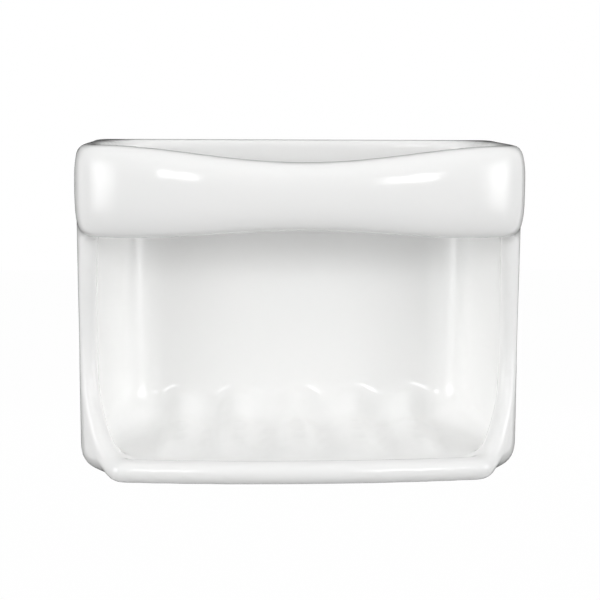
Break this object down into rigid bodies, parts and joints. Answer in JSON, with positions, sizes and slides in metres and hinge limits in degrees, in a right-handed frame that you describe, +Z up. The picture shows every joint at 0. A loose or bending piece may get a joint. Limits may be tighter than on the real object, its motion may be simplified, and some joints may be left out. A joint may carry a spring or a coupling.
{
  "type": "soap dish",
  "caption": "Glazed ceramic wall soap dish with a ribbed tray, curved cheeks and a broad washcloth bar, hung on a screwed dovetail wall clip.",
  "frame": {"origin": "centre of the dish's flat back, in the plane of the wall, which is also the centre of the wall clip", "axes": "+Z up, +Y into the wall, -Y into the room, +X to the right as seen from the room"},
  "size_m": [0.162, 0.1085, 0.121],
  "materials": {
    "glaze": "clear white glaze, high gloss",
    "clip_steel": "zinc plated, bright",
    "screw_steel": "zinc plated, bright",
    "anchor_plastic": "grey nylon, satin"
  },
  "bodies": {
    "wall_mount": {"mounting_clip": "clip_steel", "clip_screw_left": "screw_steel", "clip_screw_right": "screw_steel", "wall_anchor_left": "anchor_plastic", "wall_anchor_right": "anchor_plastic"},
    "dish": {"dish_body": "glaze", "washcloth_bar": "glaze"}
  },
  "joints": [
    {"name": "dish_lift", "type": "slide", "parent": "wall_mount", "child": "dish", "axis": [0, 0, 1], "range_m": [0, 0.033]}
  ]
}
